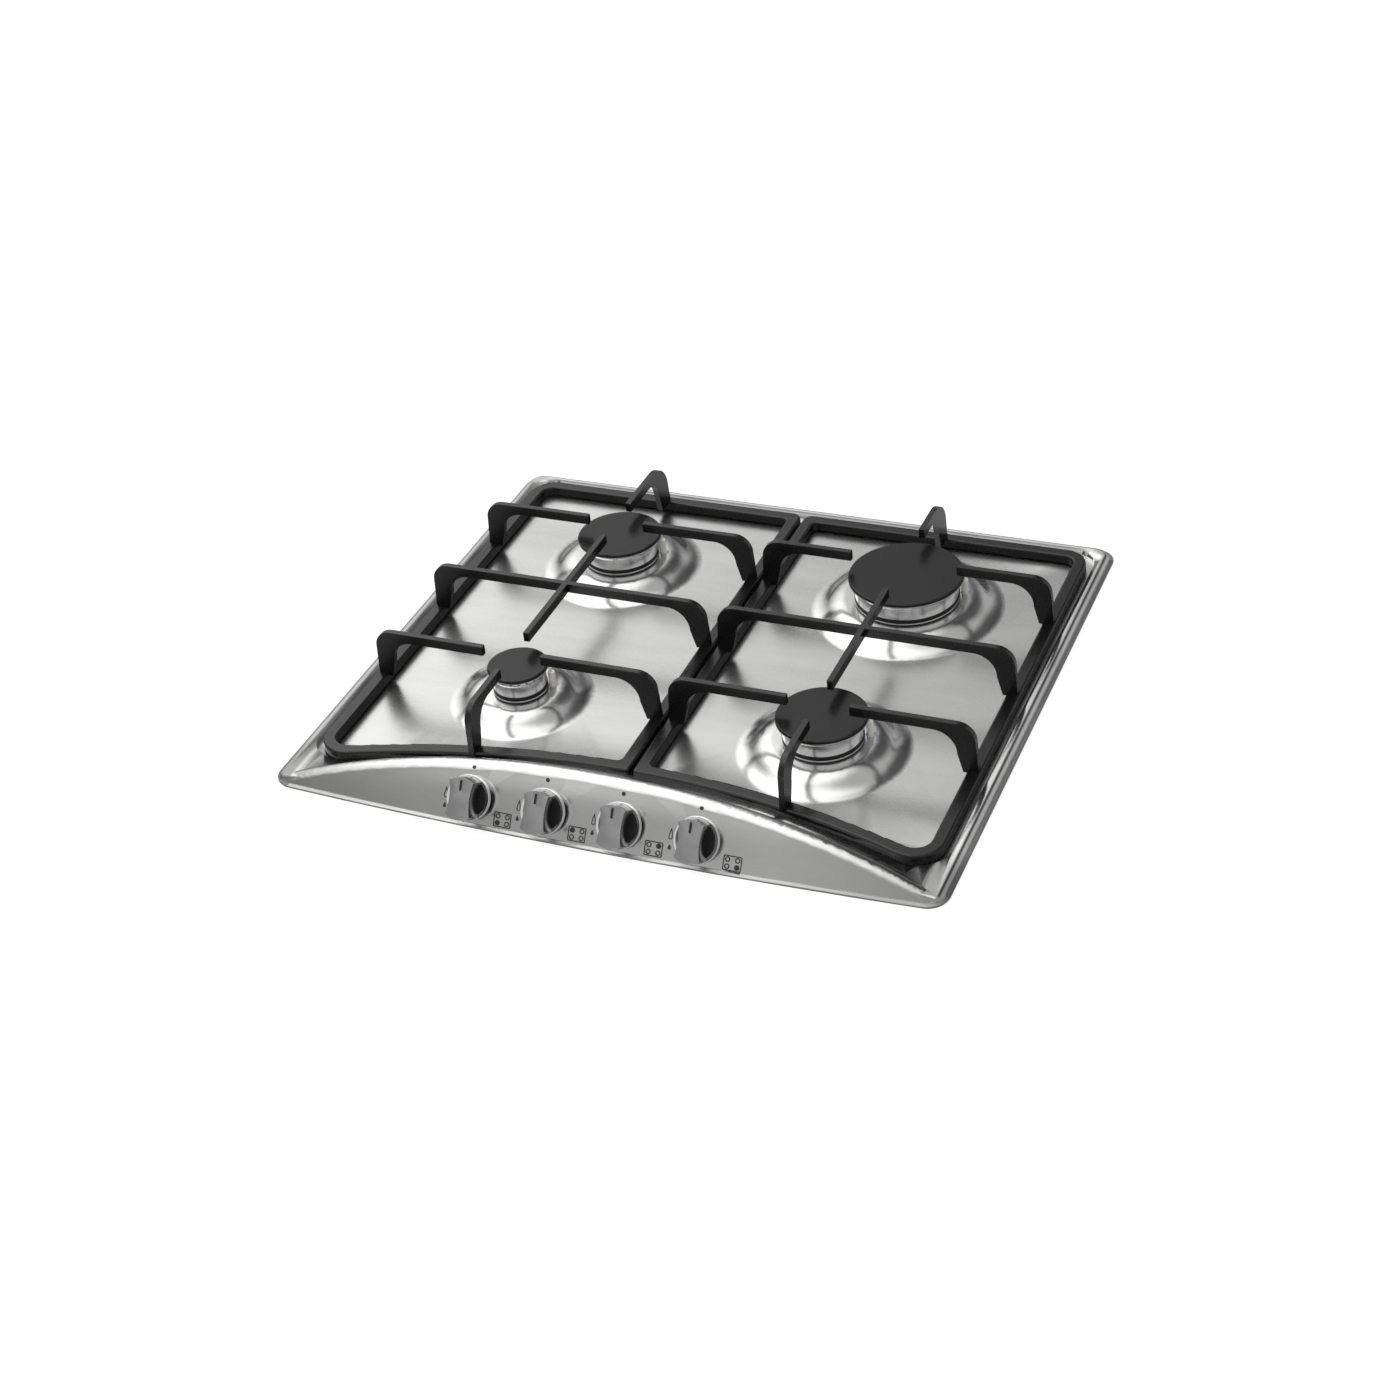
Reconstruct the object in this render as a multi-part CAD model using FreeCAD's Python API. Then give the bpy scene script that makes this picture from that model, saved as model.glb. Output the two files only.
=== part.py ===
import FreeCAD
import Part
import math
import os

from FreeCAD import Vector

# Four-burner gas cooktop for a worktop cut-out.
# Frame: +X to the right, +Y to the back, +Z up, millimetres.
# The origin is at the middle of the underside of the bottom tray.

# ---- overall sizes ----
plate_width = 580.0
plate_side_depth = 508.0
front_bow = 8.0
plate_corner_radius = 18.0
worktop_level = 50.0
steel_sheet = 1.0
tray_sheet = 1.0

# ---- rim of the top plate, heights above the worktop ----
lip_underside = 1.5
lip_thickness = 1.2
lip_width = 3.5
rim_height = 8.0
rim_rounding = 4.5
rim_setback = 0.6

# ---- basin that holds the pan supports ----
rim_width = 13.0
rim_back_width = 11.0
basin_back_radius = 22.0
basin_front_radius = 26.0
basin_floor_height = 3.0

# ---- raised console along the front ----
console_angle = 56.0
console_crest = 43.0
console_foot_height = 3.0
console_fade_power = 2.2
console_end_inset = 1.5
crest_rounding = 9.0
crest_stations = 15
console_back_angle = 38.0

# ---- arched line that the front bars and the basin front follow ----
arch_radius = 740.0
console_depth = 102.0

# ---- pan supports ----
support_middle_gap = 1.5
support_side_gap = 5.5
support_back_gap = 9.5
bar_width = 11.5
bar_height = 8.0
foot_thickness = 1.5
foot_radius = 4.5
foot_peg_radius = 1.5
foot_peg_length = 4.0
peg_clearance = 0.3
bar_edge_rounding = 2.0
basin_front_gap = 2.5
finger_top = 55.2
finger_depth = 8.5
finger_width = 5.0
drop_inset = 4.0
drop_outer_radius = 16.0
drop_inner_radius = 20.0
drop_width = 15.5
drop_foot_sink = 3.0
rear_drop_inset = 4.5
rear_drop_outer_radius = 28.0
front_drop_inset = 1.0
row_back_inset = 113.5
row_pitch = 108.0
small_tip_distance = 27.0
rapid_tip_distance = 48.0

# ---- burners ----
burner_back_offset = 3.5
burner_front_offset = 5.5
hillock_top = 15.0
hillock_rise_width = 32.0
plate_seat_width = 8.0
flange_height = 4.0
head_height = 10.5
head_lip_height = 2.0
port_height = 3.0
cap_height = 3.2
cup_floor_height = 3.0
cup_wall = 3.0
cup_hub_radius = 10.0
cup_hub_bottom = -12.0
spigot_depth = 3.0
spigot_clearance = 0.25
cap_skirt_depth = 3.0
port_width = 1.8
aux_radius = 23.0
semi_radius = 33.2
rapid_radius = 45.5
aux_cap_radius = 26.0
semi_cap_radius = 38.0
rapid_cap_radius = 50.4
aux_ports = 20
semi_ports = 28
rapid_ports = 36
cup_body_inset = 6.5
hole_clearance = 0.8
head_travel_gap = 0.5
igniter_radius = 3.0
igniter_angle = 20.0
igniter_offset = 4.6
igniter_bottom = -14.0
igniter_tip_gap = 1.5
injector_radius = 4.0
injector_length = 13.0
injector_hex = 8.0

# ---- screws ----
screw_radius = 2.0
screw_head_radius = 3.6
screw_head_height = 2.0
burner_screw_length = 8.0
burner_screw_count = 3

# ---- knobs, taps and the gas rail ----
knob_first = -104.0
knob_pitch = 65.4
knob_up_face = 20.8
knob_radius = 20.0
knob_gap = 3.2
knob_travel = 2.8
skirt_height = 5.0
knob_height = 17.8
grip_half_width = 8.5
grip_side_radius = 42.0
skirt_rim = 2.0
dish_depth = 2.0
spindle_radius = 3.0
spindle_flat = 2.2
fit_clearance = 0.08
spindle_in_knob = 11.0
spindle_hole_clearance = 2.5
cover_start = 16.0
cover_thickness = 3.0
cover_radius = 14.0
collar_radius = 5.4
collar_thickness = 1.6
spring_radius = 5.0
spring_wire = 1.2
tap_radius = 11.0
tap_end = 52.0
plug_start = 30.0
plug_end = 50.0
plug_big_radius = 7.0
plug_small_radius = 5.5
plug_clearance = 0.05
socket_depth = 6.0
spindle_engagement = 2.5
plug_port_radius = 2.0
outlet_reach = 17.0
outlet_radius = 5.0
rail_distance = 66.0
rail_radius = 8.0
rail_wall = 1.5
stub_radius = 4.0
stub_depth = 3.0
shoulder_radius = 7.0
rail_end_overhang = 26.0
rail_side_inset = 45.0
cradle_overhang = 12.0
cradle_inset = 75.0
rail_bend = 30.0

# ---- feed pipes ----
pipe_level = -4.0
pipe_radius = 3.0
pipe_bore_radius = 2.2
pipe_bend = 7.0
pipe_lane_left = 64.5
pipe_lane_right = 76.5
boss_radius = 6.0
boss_reach = 24.0
nut_radius = 7.0
nut_length = 8.0

# ---- bottom tray ----
tray_side_inset = 20.0
tray_front_inset = 10.5
tray_back_inset = 28.0
tray_corner_radius = 10.0
notch_width = 75.0
notch_depth = 58.0
bracket_length = 20.0
bracket_drop = 14.0
bracket_reach = 12.0
bracket_thickness = 1.5
bracket_front_distances = (69.5, 219.5)
bracket_back_distance = 80.0
back_bracket_left = 120.0
back_bracket_right = 180.0
vent_count = 9
vent_pitch = 20.0
vent_width = 4.0
vent_length = 44.0
vent_place = 40.0
tray_screw_length = 6.0

# ---- worktop clamps, seal, inlet, ignition ----
worktop_thickness = 30.0
clamp_width = 24.0
clamp_reach = 17.0
clamp_sheet = 1.5
clamp_height = 22.0
clamp_front_distance = 144.5
clamp_back_distance = 120.0
seal_width = 9.0
seal_inset = 0.8
inlet_thread_radius = 10.48
inlet_thread_length = 15.0
inlet_bore_radius = 6.0
inlet_body_radius = 12.0
inlet_setback = 22.0
inlet_end_height = 1.0
spark_unit_size = (62.0, 38.0, 24.0)
spark_unit_left = -60.0
spark_unit_inset = 70.0
terminal_radius = 2.5
terminal_length = 7.0
gland_side_inset = 90.0
gland_height = 24.0
gland_hex = 9.5
gland_radius = 7.0
gland_bore = 4.0
gland_length = 12.0

# ---- values that follow from the sizes above ----
TILT = math.radians(console_angle)
OUT = Vector(0, -math.sin(TILT), math.cos(TILT))
UP_FACE = Vector(0, math.cos(TILT), math.sin(TILT))
half_width = plate_width / 2
back_edge = (plate_side_depth + front_bow) / 2
front_edge = back_edge - plate_side_depth
basin_half_width = half_width - rim_width
basin_back = back_edge - rim_back_width
arch_apex = front_edge - front_bow + console_depth
cell_centre = (basin_half_width - support_side_gap + support_middle_gap) / 2
support_half_width = cell_centre - support_middle_gap
support_back = basin_back - support_back_gap
row_back = support_back - row_back_inset
row_middle = row_back - row_pitch
row_front = row_middle - row_pitch
burner_back = row_back + burner_back_offset
burner_front = row_front + burner_front_offset
tray_half_width = half_width - tray_side_inset
tray_front = front_edge + tray_front_inset
tray_back = back_edge - tray_back_inset
rail_left_end = knob_first - rail_end_overhang
rail_right = tray_half_width - rail_side_inset
pipe_back_left = -cell_centre + pipe_lane_left
pipe_back_right = cell_centre - pipe_lane_right
gland_place = gland_side_inset - tray_half_width
floor_z = worktop_level + basin_floor_height
rim_z = worktop_level + rim_height
bar_bottom_z = floor_z + foot_thickness
bar_top_z = bar_bottom_z + bar_height
finger_top_z = worktop_level + finger_top
finger_bottom_z = finger_top_z - finger_depth
seat_z = worktop_level + hillock_top
arch_centre = arch_apex - arch_radius
pipe_z = worktop_level + pipe_level


def bow_line(x):
    """Front edge of the plate at a place along the width."""
    return front_edge - front_bow * (1 - (x / half_width) ** 2)


def console_foot(x, inset):
    """Line where the console face meets the lip."""
    return bow_line(x) + lip_width + inset


knob_places = [knob_first + knob_pitch * i for i in range(4)]
KNOB_NAMES = ("front_left", "rear_left", "rear_right", "front_right")


def face_point(x, up_face, out=0.0):
    """Point on the console face, or a distance straight out of it."""
    foot = Vector(x, console_foot(0, 0), worktop_level + console_foot_height)
    return foot + UP_FACE * up_face + OUT * out


BURNERS = {
    "rear_left": (-cell_centre, burner_back, semi_radius, semi_cap_radius, semi_ports),
    "rear_right": (cell_centre, burner_back, rapid_radius, rapid_cap_radius, rapid_ports),
    "front_left": (-cell_centre, burner_front, aux_radius, aux_cap_radius, aux_ports),
    "front_right": (cell_centre, burner_front, semi_radius, semi_cap_radius, semi_ports),
}


# ---- general shapes ----
def save(name, shape):
    shape.exportStep("parts/" + name + ".step")
    print(name, round(shape.Volume, 1), "mm3", len(shape.Solids), "solid(s)")


def cylinder(radius, start, end, centre=(0, 0)):
    return Part.makeCylinder(radius, end - start, Vector(centre[0], centre[1], start))


def ring(outer, inner, start, end, centre=(0, 0)):
    body = cylinder(outer, start, end, centre)
    return body.cut(cylinder(inner, start - 1, end + 1, centre))


def rod(start, direction, radius, length):
    return Part.makeCylinder(radius, length, start, direction)


def block(x0, x1, y0, y1, z0, z1):
    return Part.makeBox(x1 - x0, y1 - y0, z1 - z0, Vector(x0, y0, z0))


def hexagon(across_corners, start, end, centre=(0, 0)):
    points = []
    for i in range(7):
        a = math.radians(60 * i)
        x = centre[0] + across_corners * math.cos(a)
        y = centre[1] + across_corners * math.sin(a)
        points.append(Vector(x, y, start))
    return Part.Face(Part.makePolygon(points)).extrude(Vector(0, 0, end - start))


def fuse_all(shapes):
    shapes = list(shapes)
    if len(shapes) == 1:
        return shapes[0]
    return shapes[0].multiFuse(shapes[1:]).removeSplitter()


def round_upright_edges(body, places):
    """Fillet the upright edges that stand at the given (x, y, radius) places."""
    for x, y, radius in places:
        found = []
        for edge in body.Edges:
            if len(edge.Vertexes) < 2:
                continue
            a, b = edge.Vertexes[0].Point, edge.Vertexes[1].Point
            upright = abs(a.x - b.x) < 0.01 and abs(a.y - b.y) < 0.01
            if upright and abs(a.x - x) < 0.6 and abs(a.y - y) < 0.6:
                found.append(edge)
        body = body.makeFillet(radius, found)
    return body


def round_level_edges(body, z, radius):
    """Fillet every edge that lies in the level plane z."""
    edges = []
    for edge in body.Edges:
        if all(abs(v.Point.z - z) < 0.01 for v in edge.Vertexes):
            box = edge.BoundBox
            if box.ZLength < 0.01:
                edges.append(edge)
    return body.makeFillet(radius, edges)


def tilted(shape, x):
    """Stand a shape built along +Z on the console face at a knob's place."""
    out = shape.copy()
    out.rotate(Vector(0, 0, 0), Vector(1, 0, 0), console_angle)
    out.translate(face_point(x, knob_up_face))
    return out


# ---- top plate ----
def plate_prism(inset, z0, z1):
    """Outline of the plate with its bowed front, drawn in by inset."""
    x = half_width - inset
    back = back_edge - inset
    side_front = front_edge + inset
    middle_front = front_edge - front_bow + inset
    corners = [Vector(-x, side_front, z0), Vector(-x, back, z0), Vector(x, back, z0), Vector(x, side_front, z0)]
    edges = [Part.makeLine(corners[i], corners[i + 1]) for i in range(3)]
    edges.append(Part.Arc(corners[3], Vector(0, middle_front, z0), corners[0]).toShape())
    body = Part.Face(Part.Wire(edges)).extrude(Vector(0, 0, z1 - z0))
    radius = plate_corner_radius - inset
    places = [(c.x, c.y, radius) for c in corners]
    return round_upright_edges(body, places)


def arch_y(x, radius):
    return arch_centre + math.sqrt(radius ** 2 - x ** 2)


basin_arch_radius = arch_radius - bar_width - basin_front_gap


def arched_prism(x0, x1, back, radius, z0, z1, corner_radii):
    """Prism with straight sides and back whose front follows the arch."""
    front0, front1 = arch_y(x0, radius), arch_y(x1, radius)
    middle = (x0 + x1) / 2
    corners = [Vector(x0, front0, z0), Vector(x0, back, z0), Vector(x1, back, z0), Vector(x1, front1, z0)]
    edges = [Part.makeLine(corners[i], corners[i + 1]) for i in range(3)]
    edges.append(Part.Arc(corners[3], Vector(middle, arch_y(middle, radius), z0), corners[0]).toShape())
    body = Part.Face(Part.Wire(edges)).extrude(Vector(0, 0, z1 - z0))
    places = [(c.x, c.y, r) for c, r in zip(corners, corner_radii)]
    return round_upright_edges(body, places)


def crest_height(x):
    """Height of the console above the rim along the width, highest in the middle."""
    share = abs(x) / (half_width - lip_width - console_end_inset)
    return console_crest * (1 - share ** console_fade_power)


def crest_point(x):
    """Where the sloping face would meet the back slope if the crest were sharp."""
    foot_z = worktop_level + console_foot_height
    z = rim_z + crest_height(x)
    return Vector(x, console_foot(x, 0) + (z - foot_z) / math.tan(TILT), z)


def behind_face(skin):
    """Everything behind the sloping face of the console."""
    low = worktop_level - 30
    foot_z = worktop_level + console_foot_height
    shift = skin / math.sin(TILT) - (foot_z - low) / math.tan(TILT)
    x, side_y, middle_y = half_width, console_foot(half_width, shift), console_foot(0, shift)
    far = back_edge + console_depth
    corners = [Vector(-x, side_y, low), Vector(-x, far, low), Vector(x, far, low), Vector(x, side_y, low)]
    edges = [Part.makeLine(corners[i], corners[i + 1]) for i in range(3)]
    edges.append(Part.Arc(corners[3], Vector(0, middle_y, low), corners[0]).toShape())
    return Part.Face(Part.Wire(edges)).extrude(UP_FACE * (2 * worktop_level + console_crest))


def console_body(skin):
    """Console: what lies behind its sloping face and under its back slope."""
    low = worktop_level - 30
    back_slope = math.radians(console_back_angle)
    start_y = front_edge - 50
    points = []
    for i in range(crest_stations):
        x = -half_width + plate_width * i / (crest_stations - 1)
        crest = crest_point(x)
        z = crest.z + (crest.y - start_y) * math.tan(back_slope) - skin / math.cos(back_slope)
        points.append(Vector(x, start_y, z))
    profile = Part.BSplineCurve()
    profile.interpolate(points)
    first, last = points[0], points[-1]
    below_first, below_last = Vector(first.x, start_y, low), Vector(last.x, start_y, low)
    edges = [
        profile.toShape(),
        Part.makeLine(last, below_last),
        Part.makeLine(below_last, below_first),
        Part.makeLine(below_first, first),
    ]
    way = Vector(0, math.cos(back_slope), -math.sin(back_slope))
    under_slope = Part.Face(Part.Wire(edges)).extrude(way * (2 * console_depth))
    body = behind_face(skin).common(under_slope)

    middle = crest_point(0)
    inset = skin / math.cos((TILT + back_slope) / 2)
    lean = (TILT - back_slope) / 2
    middle = middle + Vector(0, math.sin(lean), -math.cos(lean)) * inset
    crest_edges = [e for e in body.Edges if e.distToShape(Part.Vertex(middle))[0] < 0.05]
    return body.makeFillet(crest_rounding - skin, crest_edges)


def hillock(x, y, top_radius, skin):
    """Raised seat round a burner: a flat top with a soft S-shaped flank."""
    rise = seat_z - floor_z
    w = hillock_rise_width
    flank = (w ** 2 + rise ** 2) / (4 * rise)
    r0, r1 = top_radius, top_radius + w
    low, high = floor_z - skin, seat_z - skin
    bend = math.asin((w / 2) / flank)
    upper = Vector(r0 + (flank * math.sin(bend / 2)), 0, high - flank * (1 - math.cos(bend / 2)))
    lower = Vector(r1 - (flank * math.sin(bend / 2)), 0, low + flank * (1 - math.cos(bend / 2)))
    halfway = Vector((r0 + r1) / 2, 0, (low + high) / 2)
    start, end = Vector(r0, 0, high), Vector(r1, 0, low)
    base = low - 1.5
    edges = [
        Part.makeLine(Vector(0, 0, base), Vector(0, 0, high)),
        Part.makeLine(Vector(0, 0, high), start),
        Part.Arc(start, upper, halfway).toShape(),
        Part.Arc(halfway, lower, end).toShape(),
        Part.makeLine(end, Vector(r1, 0, base)),
        Part.makeLine(Vector(r1, 0, base), Vector(0, 0, base)),
    ]
    body = Part.Face(Part.Wire(edges)).revolve(Vector(0, 0, 0), Vector(0, 0, 1), 360)
    body.translate(Vector(x, y, 0))
    return body


def rim_slab(skin):
    """Rim of the plate with its rounded sides and back, open at the front."""
    x, back = half_width - lip_width - skin, back_edge - lip_width - skin
    z0 = worktop_level - 10
    front = front_edge - 60
    slab = block(-x, x, front, back, z0, rim_z - skin)
    radius = plate_corner_radius - lip_width - skin
    slab = round_upright_edges(slab, [(-x, back, radius), (x, back, radius)])
    edges = []
    for edge in slab.Edges:
        ends = [v.Point for v in edge.Vertexes]
        on_top = all(abs(p.z - (rim_z - skin)) < 0.01 for p in ends)
        at_front = all(abs(p.y - front) < 0.01 for p in ends)
        if on_top and not at_front:
            edges.append(edge)
    slab = slab.makeFillet(rim_rounding - skin, edges)
    return slab.common(behind_face(skin + rim_setback))


def plate_body(skin):
    """Solid under the visible surface of the top plate, drawn in by skin."""
    z0 = worktop_level + lip_underside - (1.0 if skin else 0.0)
    top = rim_z + console_crest + crest_rounding
    body = rim_slab(skin).fuse(console_body(skin))
    body = body.common(plate_prism(lip_width + skin, z0, top))
    basin = arched_prism(
        -basin_half_width - skin, basin_half_width + skin, basin_back + skin, basin_arch_radius - skin,
        floor_z - skin, top,
        (basin_front_radius + skin, basin_back_radius + skin, basin_back_radius + skin, basin_front_radius + skin))
    body = body.cut(basin)
    for x, y, radius, cap_radius, ports in BURNERS.values():
        body = body.fuse(hillock(x, y, radius + plate_seat_width, skin))
    return body


def tray_edge_bracket(x, y, inward):
    """Welded angle under the basin floor that the tray wall is screwed to."""
    top = floor_z - steel_sheet
    along = Vector(-inward.y, inward.x, 0)
    t = bracket_thickness
    corner = Vector(x, y, 0) - along * (bracket_length / 2)
    points = [corner, corner + along * bracket_length]
    leaf = Part.Face(Part.makePolygon([
        points[0], points[1], points[1] + inward * t, points[0] + inward * t, points[0]]))
    leaf.translate(Vector(0, 0, top - bracket_drop))
    leaf = leaf.extrude(Vector(0, 0, bracket_drop))
    shelf = Part.Face(Part.makePolygon([
        points[0], points[1], points[1] + inward * bracket_reach, points[0] + inward * bracket_reach, points[0]]))
    shelf.translate(Vector(0, 0, top - t))
    shelf = shelf.extrude(Vector(0, 0, t))
    return leaf.fuse(shelf)


def bracket_list():
    inside = tray_half_width - tray_sheet
    places = []
    side_places = [tray_front + distance for distance in bracket_front_distances]
    side_places.append(tray_back - bracket_back_distance)
    for y in side_places:
        places.append((-inside, y, Vector(1, 0, 0)))
        places.append((inside, y, Vector(-1, 0, 0)))
    for x in (back_bracket_left - tray_half_width, tray_half_width - back_bracket_right):
        places.append((x, tray_back - tray_sheet, Vector(0, -1, 0)))
    return places


def tray_screw_height():
    return floor_z - steel_sheet - bracket_drop / 2 - 1.0


def make_top_plate():
    lip_top = worktop_level + lip_underside + lip_thickness
    lip = plate_prism(0, worktop_level + lip_underside, lip_top)
    lip = lip.cut(plate_prism(lip_width + steel_sheet, worktop_level, lip_top + 1))
    plate = plate_body(0).fuse(lip).cut(plate_body(steel_sheet))
    for x, y, radius, cap_radius, ports in BURNERS.values():
        hole = radius - cup_body_inset + hole_clearance
        plate = plate.cut(cylinder(hole, worktop_level, seat_z + 5, (x, y)))
        for angle in burner_screw_angles():
            place = screw_place(x, y, radius, angle)
            plate = plate.cut(cylinder(screw_radius + 0.2, worktop_level, seat_z + 5, place))
        plate = plate.cut(cylinder(igniter_radius + hole_clearance, worktop_level, seat_z + 5, igniter_place(x, y, radius)))
    for x in knob_places:
        hole = cylinder(spindle_radius + spindle_hole_clearance, -8, 4)
        plate = plate.cut(tilted(hole, x))
    return plate.removeSplitter()


def make_brackets():
    """Eight angles welded under the plate, each tapped for a tray screw."""
    brackets = []
    for x, y, inward in bracket_list():
        angle = tray_edge_bracket(x, y, inward)
        start = Vector(x, y, tray_screw_height()) - inward * 2
        brackets.append(angle.cut(rod(start, inward, screw_radius, bracket_thickness + 4)))
    return Part.makeCompound(brackets)


# ---- burners ----
def burner_screw_angles():
    return [90 + 360.0 * i / burner_screw_count for i in range(burner_screw_count)]


def screw_place(x, y, radius, angle):
    """Burner screws stand in the flange, outside the body of the cup."""
    reach = radius - cup_body_inset + hole_clearance + screw_radius + 0.6
    a = math.radians(angle)
    return (x + reach * math.cos(a), y + reach * math.sin(a))


def igniter_place(x, y, radius):
    a = math.radians(igniter_angle)
    reach = radius + igniter_offset
    return (x + reach * math.cos(a), y + reach * math.sin(a))


def cup_body_radius(radius):
    return radius - cup_body_inset


def inlet_way(name):
    """Direction in which the gas boss of a burner cup points."""
    if name.startswith("front"):
        return Vector(0, -1, 0)
    return Vector(1, 0, 0) if name.endswith("left") else Vector(-1, 0, 0)


def make_cup(name):
    x, y, radius, cap_radius, ports = BURNERS[name]
    flange_top = seat_z + flange_height
    body = cup_body_radius(radius)
    floor = worktop_level + cup_floor_height
    cup = cylinder(radius + 0.4, seat_z, flange_top, (x, y))
    cup = cup.fuse(cylinder(body, floor, seat_z, (x, y)))
    cup = cup.fuse(cylinder(cup_hub_radius, worktop_level + cup_hub_bottom, floor, (x, y)))
    way = inlet_way(name)
    cup = cup.fuse(rod(Vector(x, y, pipe_z), way, boss_radius, boss_reach))
    cup = cup.cut(cylinder(body - cup_wall, floor + cup_wall, flange_top + 1, (x, y)))
    cup = cup.cut(cylinder(injector_radius, pipe_z, floor + cup_wall + 1, (x, y)))
    cup = cup.cut(rod(Vector(x, y, pipe_z), way, pipe_bore_radius, boss_reach + 1))
    for angle in burner_screw_angles():
        place = screw_place(x, y, radius, angle)
        cup = cup.cut(cylinder(screw_radius + 0.1, seat_z - 1, flange_top + 1, place))
        cup = cup.cut(cylinder(screw_head_radius - 1.2, flange_top - 1.2, flange_top + 1, place))
    return cup.removeSplitter()


def make_head(name):
    x, y, radius, cap_radius, ports = BURNERS[name]
    z0 = seat_z + flange_height
    lip_z = z0 + head_height
    port_z = lip_z + head_lip_height
    top = port_z + port_height
    bore = cup_body_radius(radius) - cup_wall
    head = cylinder(radius, z0, lip_z, (x, y))
    lip = Part.makeCone(radius, radius + 1.0, head_lip_height, Vector(x, y, lip_z))
    crown = cylinder(radius - 0.8, port_z, top, (x, y))
    head = fuse_all([head, lip, crown])
    head = head.fuse(cylinder(bore - spigot_clearance, z0 - spigot_depth, z0, (x, y)))
    throat = bore - spigot_clearance - 2.5
    head = head.cut(cylinder(throat, z0 - spigot_depth - 1, top + 1, (x, y)))
    slots = []
    for i in range(ports):
        slot = block(throat - 1, radius + 2, -port_width / 2, port_width / 2, port_z, top + 1)
        slot.rotate(Vector(0, 0, 0), Vector(0, 0, 1), 360.0 * (i + 0.5) / ports)
        slot.translate(Vector(x, y, 0))
        slots.append(slot)
    head = head.cut(Part.makeCompound(slots))
    return head


def head_top():
    return seat_z + flange_height + head_height + head_lip_height + port_height


def make_cap(name):
    x, y, radius, cap_radius, ports = BURNERS[name]
    z0 = head_top()
    throat = cup_body_radius(radius) - cup_wall - spigot_clearance - 2.5
    cap = cylinder(cap_radius, z0, z0 + cap_height, (x, y))
    cap = round_level_edges(cap, z0 + cap_height, 1.2)
    skirt = ring(throat - spigot_clearance, throat - spigot_clearance - 2, z0 - cap_skirt_depth, z0, (x, y))
    return cap.fuse(skirt)


def make_injector(name):
    x, y, radius, cap_radius, ports = BURNERS[name]
    start = pipe_z + pipe_bore_radius + 0.8
    body = cylinder(injector_radius, start, worktop_level + cup_floor_height + cup_wall, (x, y))
    nut_z = worktop_level + cup_floor_height + cup_wall
    body = body.fuse(hexagon(injector_hex / 2 + 1.2, nut_z, nut_z + 4, (x, y)))
    return body.cut(cylinder(0.6, start - 1, nut_z + 6, (x, y)))


def make_igniter(name):
    x, y, radius, cap_radius, ports = BURNERS[name]
    place = igniter_place(x, y, radius)
    low = worktop_level + igniter_bottom
    high = head_top() - igniter_tip_gap - 4
    post = cylinder(igniter_radius, low, high, place)
    post = round_level_edges(post, high, 1.0)
    collar = ring(igniter_radius + 2.0, igniter_radius, seat_z - steel_sheet - 4, seat_z - steel_sheet, place)
    wire = cylinder(0.9, low - 4, head_top() - igniter_tip_gap, place)
    return fuse_all([post, collar, wire])


def make_burner_screws():
    screws = []
    for x, y, radius, cap_radius, ports in BURNERS.values():
        top = seat_z + flange_height
        for angle in burner_screw_angles():
            place = screw_place(x, y, radius, angle)
            shank = cylinder(screw_radius, top - burner_screw_length, top - 1.2, place)
            head = cylinder(screw_head_radius - 1.4, top - 1.2, top - 0.1, place)
            screws.append(shank.fuse(head))
    return Part.makeCompound(screws)


# ---- pan supports ----
def drop_profile(tip, outer, outer_radius, inner_radius, width):
    """Half of a finger: from its tip out along the top and down to the frame bar.

    tip and outer are distances from the middle of the cell."""
    top, bottom = finger_top_z, finger_bottom_z
    foot = bar_top_z - drop_foot_sink
    inner = outer - width
    outer_centre = outer - outer_radius
    inner_centre = inner - inner_radius
    diagonal = math.sqrt(0.5)
    flare = 2.0
    inner_flare = 4.5
    points = {
        "tip_low": Vector(tip, 0, bottom),
        "inner_start": Vector(inner_centre, 0, bottom),
        "inner_middle": Vector(
            inner_centre + inner_radius * diagonal, 0, bottom - inner_radius * (1 - diagonal)),
        "inner_end": Vector(inner, 0, bottom - inner_radius),
        "foot_in": Vector(inner + inner_flare, 0, foot),
        "foot_out": Vector(outer + flare, 0, foot),
        "outer_end": Vector(outer, 0, top - outer_radius),
        "outer_middle": Vector(
            outer_centre + outer_radius * diagonal, 0, top - outer_radius * (1 - diagonal)),
        "outer_start": Vector(outer_centre, 0, top),
        "tip_high": Vector(tip, 0, top),
    }
    p = points
    edges = [
        Part.makeLine(p["tip_low"], p["inner_start"]),
        Part.Arc(p["inner_start"], p["inner_middle"], p["inner_end"]).toShape(),
        Part.makeLine(p["inner_end"], p["foot_in"]),
        Part.makeLine(p["foot_in"], p["foot_out"]),
        Part.makeLine(p["foot_out"], p["outer_end"]),
        Part.Arc(p["outer_end"], p["outer_middle"], p["outer_start"]).toShape(),
        Part.makeLine(p["outer_start"], p["tip_high"]),
        Part.makeLine(p["tip_high"], p["tip_low"]),
    ]
    return Part.Face(Part.Wire(edges))


def finger(tip, outer, outer_radius, inner_radius, width, centre, turn):
    """Finger that runs from the cell middle along a direction given by turn."""
    face = drop_profile(tip, outer, outer_radius, inner_radius, width)
    body = face.extrude(Vector(0, finger_width, 0))
    body.translate(Vector(0, -finger_width / 2, 0))
    body.rotate(Vector(0, 0, 0), Vector(0, 0, 1), turn)
    body.translate(Vector(centre[0], centre[1], 0))
    return body


def support_front_bar(x):
    """Outer edge of the arched front bar."""
    return arch_y(x, arch_radius - bar_width)


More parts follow.
